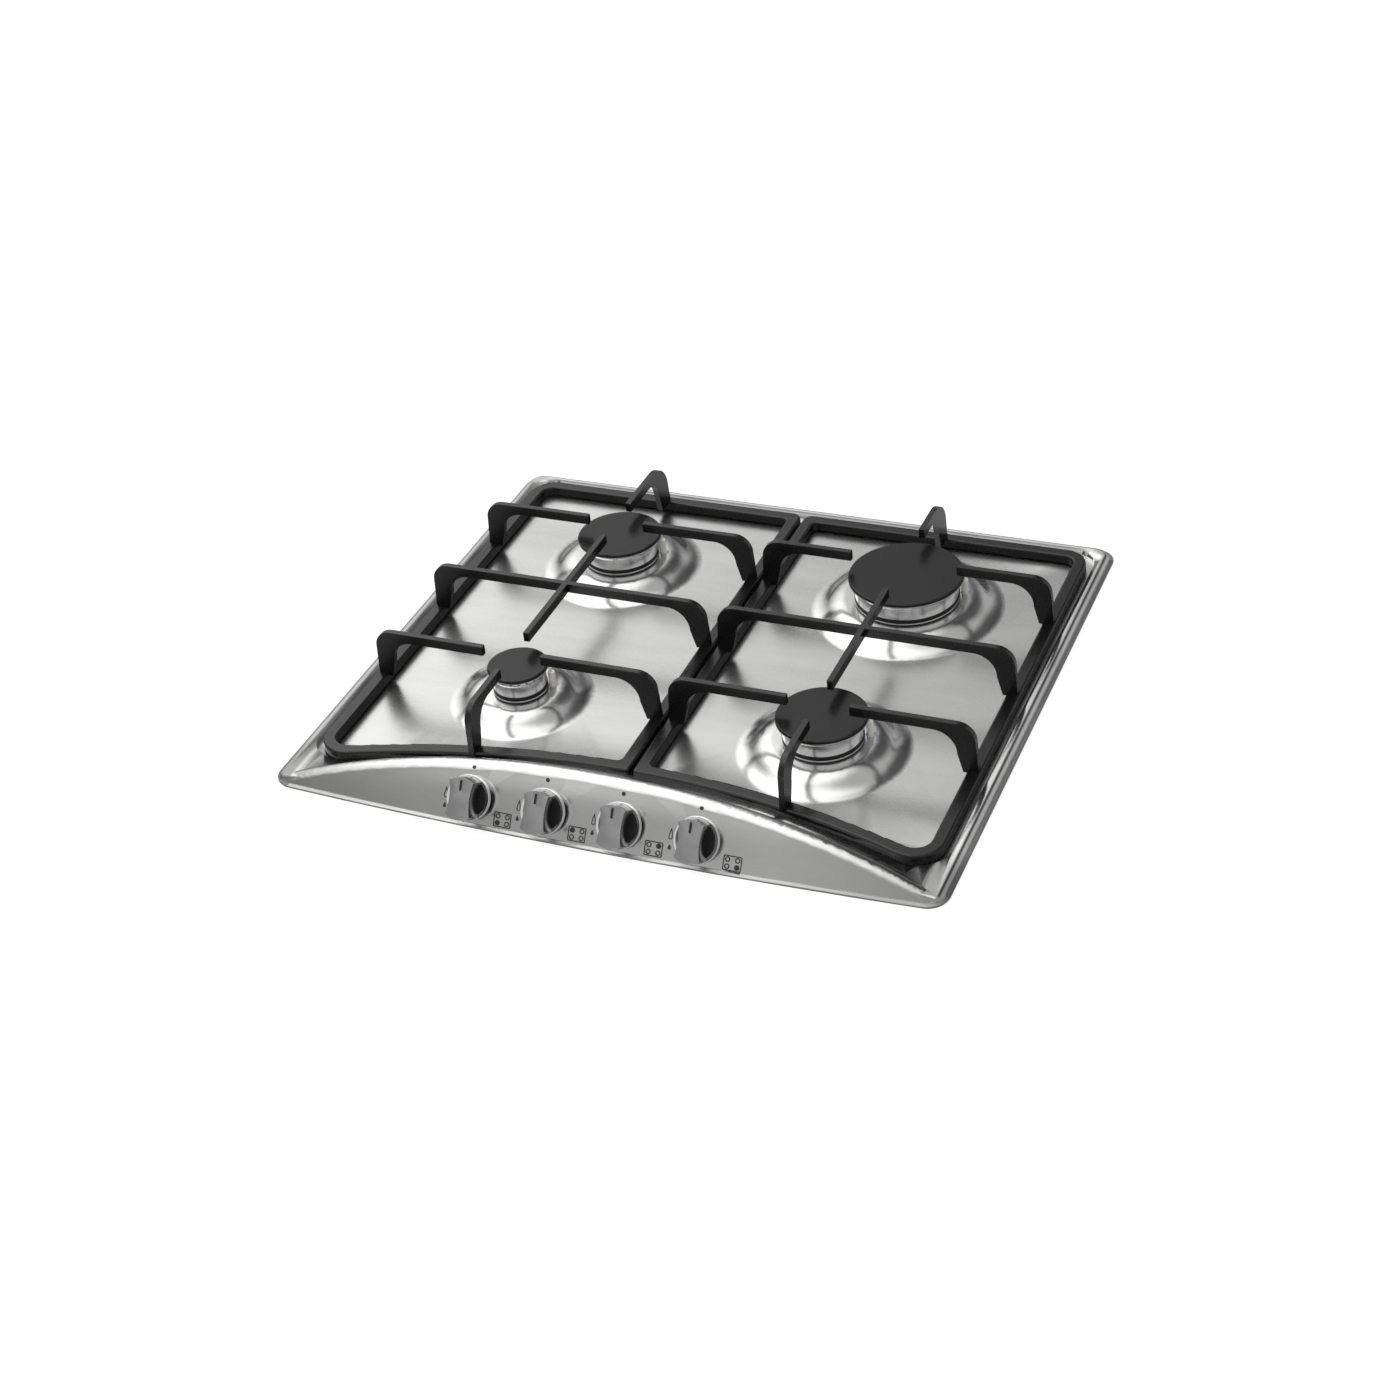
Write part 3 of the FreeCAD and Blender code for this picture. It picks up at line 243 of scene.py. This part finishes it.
scene.camera = camera


def lamp(name, place, aim, size, watts):
    """Soft box that points from its place at a point of the hob."""
    bpy.ops.object.light_add(type="AREA", location=place)
    box = bpy.context.object
    box.name = name
    box.data.shape = "RECTANGLE"
    box.data.size, box.data.size_y = size
    box.data.energy = watts
    box.visible_glossy = False
    box.rotation_euler = (Vector(aim) - Vector(place)).to_track_quat("-Z", "Y").to_euler()


hob_middle = (0, 0, 0.05)
lamp("soft_box_left", (-1.5, -0.9, 1.9), hob_middle, (1.4, 1.4), 20)
lamp("soft_box_top", (-0.5, 0.1, 2.2), hob_middle, (1.6, 1.2), 14)


# ---- Bottom tray and what hangs in it ----
# A folded galvanised tray closes the hob from below. The gas rail, taps,
# pipes and spark unit stand in it, and the gas inlet leaves it at the back.
zinc = Finish("galvanised_sheet")
spangle = zinc.node(
    "ShaderNodeTexVoronoi", {"feature": "F1"}, {"Vector": zinc.place(), "Scale": 160.0}, output="Color")
flake = zinc.node("ShaderNodeSeparateColor", {}, {0: spangle}, output=0)
zinc.shade(
    Base_Color=zinc.blend(flake, grey(0.42, (0.97, 1, 1.02)), grey(0.62, (0.97, 1, 1.02))),
    Metallic=1.0, Roughness=0.34 + 0.2 * flake)

brass = Finish("turned_brass")
turning = brass.grain(900, (1, 1, 6))
brass.shade(
    Base_Color=brass.blend(turning, (0.60, 0.42, 0.16, 1), (0.76, 0.58, 0.27, 1)), Metallic=1.0,
    Roughness=0.22 + 0.16 * turning, Normal=brass.bump(turning, 0.15, 0.0002))

tube = Finish("drawn_tube")
draw_lines = tube.grain(400, (1, 1, 1))
tube.shade(
    Base_Color=tube.blend(draw_lines, grey(0.58), grey(0.74)), Metallic=1.0,
    Roughness=0.28 + 0.14 * draw_lines)

casting = Finish("die_casting")
sand = casting.grain(700, detail=4)
casting.shade(
    Base_Color=casting.blend(sand, grey(0.48), grey(0.62)), Metallic=1.0, Roughness=0.42 + 0.14 * sand,
    Normal=casting.bump(sand, 0.25, 0.0002))

moulded = Finish("moulded_black")
spark_skin = moulded.grain(1400, detail=2)
moulded.shade(
    Base_Color=moulded.blend(spark_skin, grey(0.020), grey(0.034)), Roughness=0.42 + 0.16 * spark_skin,
    Normal=moulded.bump(spark_skin, 0.2, 0.0001))

plated = Finish("zinc_plated_steel")
plating = plated.grain(500, detail=2)
plated.shade(
    Base_Color=plated.blend(plating, grey(0.5), grey(0.66)), Metallic=1.0, Roughness=0.24 + 0.14 * plating)

foam = Finish("foam_tape")
cells = foam.node("ShaderNodeTexVoronoi", {"feature": "F1"}, {"Vector": foam.place(), "Scale": 1500.0})
foam.shade(
    Base_Color=foam.blend(cells, grey(0.016), grey(0.05)), Roughness=0.86,
    Normal=foam.bump(cells, 0.4, 0.0002))


def finish_nodes(finish, *starts):
    """Give every frame node whose name starts so the finish."""
    for name, node in nodes.items():
        if name.startswith(starts):
            node.data.materials.clear()
            node.data.materials.append(finish.material)


finish_nodes(zinc, "bottom_tray", "plate_brackets")
finish_nodes(brass, "injector", "pipe_nuts", "inlet_elbow", "tap_plug")
finish_nodes(tube, "feed_pipe", "gas_rail")
finish_nodes(casting, "tap_body")
finish_nodes(moulded, "spark_unit", "cord_gland")
finish_nodes(plated, "case_screws", "worktop_clamps", "tap_spring", "tap_spindle", "burner_screws")
finish_nodes(foam, "rim_seal")


# ---- Top plate ----
# One stainless sheet, pressed with the console hill, the basin and the four
# burner seats, then brushed from side to side. It lies on the foam tape.
def pressed_copy(name, node, angle):
    """Welded copy of a frame node with smooth flanks and crisp edges."""
    copy = nodes[node].copy()
    copy.data = nodes[node].data.copy()
    copy.name = name
    for key in list(copy.keys()):
        del copy[key]
    copy.parent = None
    copy.hide_render = False
    bpy.context.collection.objects.link(copy)
    bpy.ops.object.select_all(action="DESELECT")
    copy.select_set(True)
    bpy.context.view_layer.objects.active = copy
    bpy.ops.object.mode_set(mode="EDIT")
    bpy.ops.mesh.select_all(action="SELECT")
    bpy.ops.mesh.remove_doubles(threshold=0.000002)
    bpy.ops.object.mode_set(mode="OBJECT")
    bpy.ops.object.shade_smooth_by_angle(angle=math.radians(angle))
    copy.data.materials.clear()
    return copy


def weigh_normals(piece):
    """Let the large faces set the shading, so that flat parts stay flat."""
    bpy.context.view_layer.objects.active = piece
    weighted = piece.modifiers.new("flat_faces", "WEIGHTED_NORMAL")
    weighted.mode = "FACE_AREA"
    weighted.weight = 60
    weighted.keep_sharp = True
    bpy.ops.object.modifier_apply(modifier=weighted.name)


steel = Finish("brushed_stainless")
brush = steel.grain(60, (1.0, 60, 60), detail=6, rough=0.65)
fine_brush = steel.grain(260, (1.0, 40, 40), detail=4, rough=0.6)
cloud = steel.grain(9, (0.6, 3.4, 1), detail=2)
across, along, up = steel.axis("X"), steel.axis("Y"), steel.axis("Z")
# The console's crest is an arch. Below it a slow bend of the shading, the roll,
# fades the white crest into the grey face, which is flat in the geometry.
console_half_width = 280.5 * mm
crest_height, crest_fall, crest_power = 101 * mm, 43 * mm, 2.2
roll_start, roll_end, roll_height = -4 * mm, 26 * mm, 4.2 * mm
share = steel.node("ShaderNodeMath", {"operation": "ABSOLUTE"}, {0: across}) / console_half_width
arch = steel.node("ShaderNodeMath", {"operation": "POWER"}, {0: share, 1: crest_power})
below_crest = crest_height - crest_fall * arch - up
on_console = steel.ramp(along, -185 * mm, -215 * mm)
roll = steel.node(
    "ShaderNodeMapRange", {"interpolation_type": "SMOOTHSTEP"},
    {"Value": below_crest, "From Min": roll_start, "From Max": roll_end,
     "To Min": 0.0, "To Max": roll_height})
# The folded lip, the rear and left rims and the console's ends are darkened to
# match the photograph: this is painted shading, not a change in the steel.
folded_edge = steel.ramp(up, 53.3 * mm, 52.7 * mm)
tone = (0.66 + 0.26 * steel.ramp(share, 0.98, 0.55)) * on_console + (1 - on_console)
back_rim = steel.ramp(along, 242.5 * mm, 244.5 * mm)
left_rim = steel.ramp(across, -272.5 * mm, -274.5 * mm)
soft_rim = back_rim + left_rim * (1 - back_rim)
tone = tone * (1 - 0.26 * folded_edge) * (1 - 0.24 * soft_rim)
skin = steel.blend(brush * 0.45 + cloud * 0.55, grey(0.40, (1, 1, 0.992)), grey(0.74, (1, 1, 0.992)))
brush_depth = 0.004 * mm
scratches = (brush + fine_brush) * brush_depth * (1 - soft_rim)
crest_bend = roll * (1 - 0.85 * arch) * on_console
steel.shade(
    Base_Color=steel.blend(tone, grey(0), skin), Metallic=1.0,
    Roughness=0.14 + 0.09 * fine_brush + 0.04 * cloud + 0.15 * folded_edge + 0.26 * soft_rim,
    Normal=steel.bump(scratches + crest_bend, 1.0, 1.0))
plate = pressed_copy("pressed_plate", "top_plate", 28)
weigh_normals(plate)
plate.data.materials.append(steel.material)
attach(plate, "base")
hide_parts("top_plate")


# ---- Burners ----
# Each burner is a cast cup under the plate, a turned aluminium head with its
# flame ports, and an enamelled cap that lies loose on the head. The cup's top is
# painted near black, as painted shadow of the gap under the head. Its bare zone
# is painted, to hide that the plate's seats are too low.
enamel = Finish("black_enamel_cap")
peel = enamel.grain(420, detail=2)
speck = enamel.grain(2600, detail=1)
cap_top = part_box("burner_cap_rear_left")[1][2]
# More than 2.6 mm under its top, the black enamel cap is painted as bright metal: a painted highlight line
# along its lower edge.
painted_highlight_band = enamel.ramp(enamel.axis("Z"), cap_top - 2.3 * mm, cap_top - 2.6 * mm)
enamel.shade(
    Base_Color=enamel.blend(painted_highlight_band, enamel.blend(peel, grey(0.007), grey(0.013)), grey(0.75)),
    Metallic=painted_highlight_band, Specular_IOR_Level=0.22, Roughness=0.18 + 0.12 * peel,
    Normal=enamel.bump(peel + 0.4 * speck, 0.16, 0.0003))
polished = Finish("polished_aluminium")
lathe = polished.grain(900, (1, 1, 14), detail=3)
polished.shade(
    Base_Color=polished.blend(lathe, grey(0.88), grey(0.98)), Metallic=1.0, Roughness=0.10 + 0.10 * lathe,
    Normal=polished.bump(lathe, 0.08, 0.0002))
# The top 3.3 mm of the bare aluminium cup is painted near black: painted shadow of the gap under the head.
cup_shadow_paint = Finish("cup_painted_shadow")
cup_grain = cup_shadow_paint.grain(600, detail=3)
cup_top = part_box("burner_cup_rear_left")[1][2]
bare = cup_shadow_paint.ramp(cup_shadow_paint.axis("Z"), cup_top - 3.3 * mm, cup_top - 3.5 * mm)
cup_shadow_paint.shade(
    Base_Color=cup_shadow_paint.blend(bare, cup_shadow_paint.blend(cup_grain, grey(0.012), grey(0.03)), grey(0.72)),
    Metallic=0.6 + 0.4 * bare, Roughness=0.4 + 0.2 * cup_grain - 0.2 * bare)
ceramic = Finish("glazed_ceramic")
glaze = ceramic.grain(500, detail=2)
ceramic.shade(
    Base_Color=ceramic.blend(glaze, (0.74, 0.73, 0.69, 1), (0.84, 0.83, 0.80, 1)),
    Roughness=0.2 + 0.1 * glaze)
finish_nodes(cup_shadow_paint, "burner_cup")
finish_nodes(ceramic, "igniter")
finish_nodes(enamel, "burner_cap")
finish_nodes(polished, "burner_head")

# ---- Pan supports ----
# Two welded steel frames with square fingers, black enamelled after welding,
# on six rubber feet each. They lift straight off.
support_skin = Finish("black_enamel_support")
grit = support_skin.grain(900, detail=4)
wave = support_skin.grain(90, detail=2)
height = support_skin.axis("Z")
# The near-black colour turns lighter in specks high on the frames, above 100 mm.
lighter_high_up = support_skin.ramp(height, 100 * mm, 105.5 * mm)
support_skin.shade(
    Base_Color=support_skin.blend(lighter_high_up * grit, grey(0.004), grey(0.015)),
    Roughness=0.20 + 0.16 * grit, Specular_IOR_Level=0.40,
    Normal=support_skin.bump(grit + 0.6 * wave, 0.10, 0.0003))
rubber = Finish("foot_rubber")
matt = rubber.grain(900)
rubber.shade(Base_Color=rubber.blend(matt, grey(0.014), grey(0.03)), Roughness=0.8)
finish_nodes(rubber, "support_feet")
finish_nodes(support_skin, "pan_support")

# ---- Printed marks on the console ----
# Black enamel print, burnt in: a zero dot over each knob, the two flame marks
# beside it, and the four-ring picture that tells which burner the knob serves.
face_turn = math.radians(56)
face_foot = Vector((0, -254.5, 53)) * mm
up_face = Vector((0, math.cos(face_turn), math.sin(face_turn)))
out_face = Vector((0, -math.sin(face_turn), math.cos(face_turn)))
knob_places = [-104.0, -38.6, 26.8, 92.2]
knob_up = 20.8
print_marks = []


def lay_on_face(piece, x, up, off):
    """Stand a piece built on the ground plane on the console face."""
    piece.rotation_euler = (face_turn, 0, 0)
    piece.location = face_foot + Vector((x * mm, 0, 0)) + up_face * (up * mm) + out_face * (off * mm)
    bpy.ops.object.select_all(action="DESELECT")
    piece.select_set(True)
    bpy.context.view_layer.objects.active = piece
    bpy.ops.object.transform_apply(location=True, rotation=True, scale=True)


def printed_ring(x, up, radius, line, filled):
    bpy.ops.mesh.primitive_circle_add(vertices=20, radius=radius * mm, fill_type="NGON")
    ring = bpy.context.object
    if not filled:
        bpy.ops.object.mode_set(mode="EDIT")
        bpy.ops.mesh.select_all(action="SELECT")
        bpy.ops.mesh.inset(thickness=line * mm)
        bpy.ops.mesh.delete(type="FACE")
        bpy.ops.object.mode_set(mode="OBJECT")
    lay_on_face(ring, x, up, 0.5)
    print_marks.append(ring)


def printed_frame(x, up, width, height, line):
    bpy.ops.mesh.primitive_plane_add(size=1)
    card = bpy.context.object
    card.scale = (width * mm, height * mm, 1)
    bpy.ops.object.transform_apply(location=False, rotation=False, scale=True)
    bpy.ops.object.mode_set(mode="EDIT")
    bpy.ops.mesh.select_all(action="SELECT")
    bpy.ops.mesh.bevel(offset=1.2 * mm, offset_type="OFFSET", segments=4, affect="VERTICES")
    bpy.ops.mesh.select_all(action="SELECT")
    bpy.ops.mesh.inset(thickness=line * mm)
    bpy.ops.mesh.delete(type="FACE")
    bpy.ops.object.mode_set(mode="OBJECT")
    lay_on_face(card, x, up, 0.5)
    print_marks.append(card)


def printed_flame(x, up, width, height, filled):
    """Drop with a drawn-out tip; the tall one is an outline."""
    bpy.ops.mesh.primitive_circle_add(vertices=24, radius=width / 2 * mm, fill_type="NGON")
    flame = bpy.context.object
    for v in flame.data.vertices:
        if v.co.y > 0:
            share = v.co.y / (width / 2 * mm)
            v.co.y = share * (height - width / 2) * mm
            v.co.x *= (1 - share) ** 0.35
    if not filled:
        bpy.ops.object.mode_set(mode="EDIT")
        bpy.ops.mesh.select_all(action="SELECT")
        bpy.ops.mesh.inset(thickness=0.75 * mm)
        bpy.ops.mesh.delete(type="FACE")
        bpy.ops.object.mode_set(mode="OBJECT")
    lay_on_face(flame, x, up, 0.5)
    print_marks.append(flame)


served = [0, 2, 3, 1]       # the filled ring of each knob's picture
picture_x, picture_up = 29.0, knob_up - 13.5
flame_x = -23.6
ring_places = ((-4.1, -2.75), (4.1, -2.75), (-4.1, 2.75), (4.1, 2.75))
for place, burner in zip(knob_places, served):
    printed_ring(place - 1.6, knob_up + 24.4, 1.7, 0, True)
    printed_flame(place + flame_x, knob_up - 2.2, 3.6, 9.0, False)
    printed_flame(place + flame_x, knob_up - 10.6, 2.8, 4.2, True)
    printed_frame(place + picture_x, picture_up, 15.4, 12.0, 0.9)
    for number, (dx, ds) in enumerate(ring_places):
        printed_ring(place + picture_x + dx, picture_up + ds, 2.2, 0.95, number == burner)

bpy.ops.object.select_all(action="DESELECT")
for mark in print_marks:
    mark.select_set(True)
bpy.context.view_layer.objects.active = print_marks[0]
bpy.ops.object.join()
marks = bpy.context.object
marks.name = "console_marks"
wrap = marks.modifiers.new("on_face", "SHRINKWRAP")
wrap.target = plate
wrap.wrap_method = "NEAREST_SURFACEPOINT"
wrap.wrap_mode = "ABOVE_SURFACE"
wrap.offset = 0.14 * mm
bpy.ops.object.modifier_apply(modifier=wrap.name)
printed = Finish("burnt_in_print")
edge_noise = printed.grain(3000, detail=2)
printed.shade(
    Base_Color=printed.blend(edge_noise, grey(0.012), grey(0.030)), Roughness=0.35 + 0.2 * edge_noise)
marks.data.materials.append(printed.material)
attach(marks, "base")

# ---- Control knobs ----
# Four moulded knobs, pushed onto the spindles: a polished round skirt with a
# glossy black dish, and a waisted grip of satin silver with a black pointer slot.
# The grip's steep walls are painted darker than the satin, as painted shade.
# They are 37.2 mm across, and the nodes are 40 mm.
knob_foot, skirt_top, grip_top = 3.2, 7.4, 22.1
skirt_radius, grip_low_radius, grip_high_radius = 18.6, 18.2, 17.2
waist, waist_radius = 8.8, 58.0

satin = Finish("satin_silver")
satin_grain = satin.grain(1200, detail=3)
flow = satin.grain(45, (1, 1, 2.5), detail=2)
satin.shade(
    Base_Color=satin.blend(flow, grey(0.33), grey(0.47)), Metallic=1.0, Roughness=0.20 + 0.08 * satin_grain,
    Normal=satin.bump(satin_grain, 0.02, 0.0001))
# A darker copy of the satin silver for the grip's steep walls: painted shade.
shade = Finish("grip_wall_painted_shade")
wall_grain = shade.grain(1200, (1, 1, 3), detail=3)
shade.shade(
    Base_Color=shade.blend(wall_grain, grey(0.10), grey(0.22)), Metallic=1.0,
    Roughness=0.16 + 0.10 * wall_grain)
bright = Finish("polished_edge")
edge_grain = bright.grain(900, detail=2)
bright.shade(
    Base_Color=bright.blend(edge_grain, grey(0.82), grey(0.95)), Metallic=1.0,
    Roughness=0.06 + 0.08 * edge_grain)
recess = Finish("black_gloss_dish")
dish_flow = recess.grain(160, detail=2)
recess.shade(
    Base_Color=recess.blend(dish_flow, grey(0.006), grey(0.020)), Roughness=0.10 + 0.08 * dish_flow)
knob_finishes = (satin.material, bright.material, recess.material, shade.material)
on_edge, on_black, on_wall = 1, 2, 3        # places in knob_finishes
dish_rim, dish_depth = 2.9, 1.6
slot_y, slot_size = 10.6, (2.2, 8.4, 1.4)


def cut_with(piece, cutter):
    """Take a cutter's shape out of the piece and put the cutter away."""
    cut = piece.modifiers.new("cut", "BOOLEAN")
    cut.operation = "DIFFERENCE"
    cut.solver = "EXACT"
    cut.object = cutter
    bpy.ops.object.select_all(action="DESELECT")
    piece.select_set(True)
    bpy.context.view_layer.objects.active = piece
    bpy.ops.object.modifier_apply(modifier=cut.name)
    bpy.data.objects.remove(cutter, do_unlink=True)


def edge_break(piece, width, angle):
    """Bevel all edges over the angle, in the polished finish."""
    bpy.ops.object.select_all(action="DESELECT")
    piece.select_set(True)
    bpy.context.view_layer.objects.active = piece
    bevel = piece.modifiers.new("edges", "BEVEL")
    bevel.width = width * mm
    bevel.segments = 3
    bevel.limit_method = "ANGLE"
    bevel.angle_limit = math.radians(angle)
    bevel.material = on_edge
    bpy.ops.object.modifier_apply(modifier=bevel.name)
    bpy.ops.object.shade_smooth_by_angle(angle=math.radians(24))


def modelled_knob(name, place):
    bpy.ops.mesh.primitive_cylinder_add(
        vertices=96, radius=skirt_radius * mm, depth=(skirt_top - knob_foot) * mm,
        location=(0, 0, (skirt_top + knob_foot) / 2 * mm))
    skirt = bpy.context.object
    bpy.ops.object.transform_apply(location=True, rotation=True, scale=True)
    for material in knob_finishes:
        skirt.data.materials.append(material)
    bpy.ops.object.mode_set(mode="EDIT")
    bpy.ops.mesh.select_all(action="DESELECT")
    bpy.ops.object.mode_set(mode="OBJECT")
    for face in skirt.data.polygons:
        face.select = face.normal.z > 0.9
    bpy.ops.object.mode_set(mode="EDIT")
    bpy.ops.mesh.inset(thickness=dish_rim * mm)
    bpy.ops.transform.translate(value=(0, 0, -dish_depth * mm))
    bpy.ops.object.mode_set(mode="OBJECT")
    for face in skirt.data.polygons:
        on_dish = face.normal.z > 0.9 and face.center.length < skirt_top * mm
        face.material_index = on_black if on_dish else on_edge
    edge_break(skirt, 0.55, 30)

    bpy.ops.mesh.primitive_cone_add(
        vertices=128, radius1=grip_low_radius * mm, radius2=grip_high_radius * mm,
        depth=(grip_top - knob_foot - 1) * mm, location=(0, 0, (grip_top + knob_foot + 1) / 2 * mm))
    grip = bpy.context.object
    grip.name = name
    bpy.ops.object.transform_apply(location=True, rotation=True, scale=True)
    for material in knob_finishes:
        grip.data.materials.append(material)
    for side in (-1, 1):
        bpy.ops.mesh.primitive_cylinder_add(
            vertices=160, radius=waist_radius * mm, depth=60 * mm,
            location=(side * (waist + waist_radius) * mm, 0, 0))
        cutter = bpy.context.object
        bpy.ops.object.transform_apply(location=True, rotation=True, scale=True)
        cut_with(grip, cutter)
    bpy.ops.mesh.primitive_cube_add(size=1, location=(0, slot_y * mm, (grip_top + 0.1) * mm))
    slot = bpy.context.object
    slot.scale = [length * mm for length in slot_size]
    bpy.ops.object.transform_apply(location=True, rotation=True, scale=True)
    slot.data.materials.append(recess.material)
    cut_with(grip, slot)
    edge_break(grip, 0.85, 40)
    for face in grip.data.polygons:
        x, y, z = face.center / mm
        # Steep faces of the waist take the darker wall finish, which is painted shade.
        steep = abs(face.normal.x) > 0.80 and face.normal.z < 0.3
        if steep and face.material_index != on_black and abs(y) < 14.8:
            face.material_index = on_wall
        if abs(x) < 1.2 and 6.0 < y < 15.2 and grip_top - 1.2 < z < grip_top - 0.02:
            face.material_index = on_black
    bpy.ops.object.select_all(action="DESELECT")
    skirt.select_set(True)
    grip.select_set(True)
    bpy.context.view_layer.objects.active = grip
    bpy.ops.object.join()
    lay_on_face(grip, place, knob_up, 0)
    return grip


for name, place in zip(("front_left", "rear_left", "rear_right", "front_right"), knob_places):
    knob = modelled_knob("knob_" + name, place)
    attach(knob, "knob_" + name)
    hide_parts("control_knob_" + name)
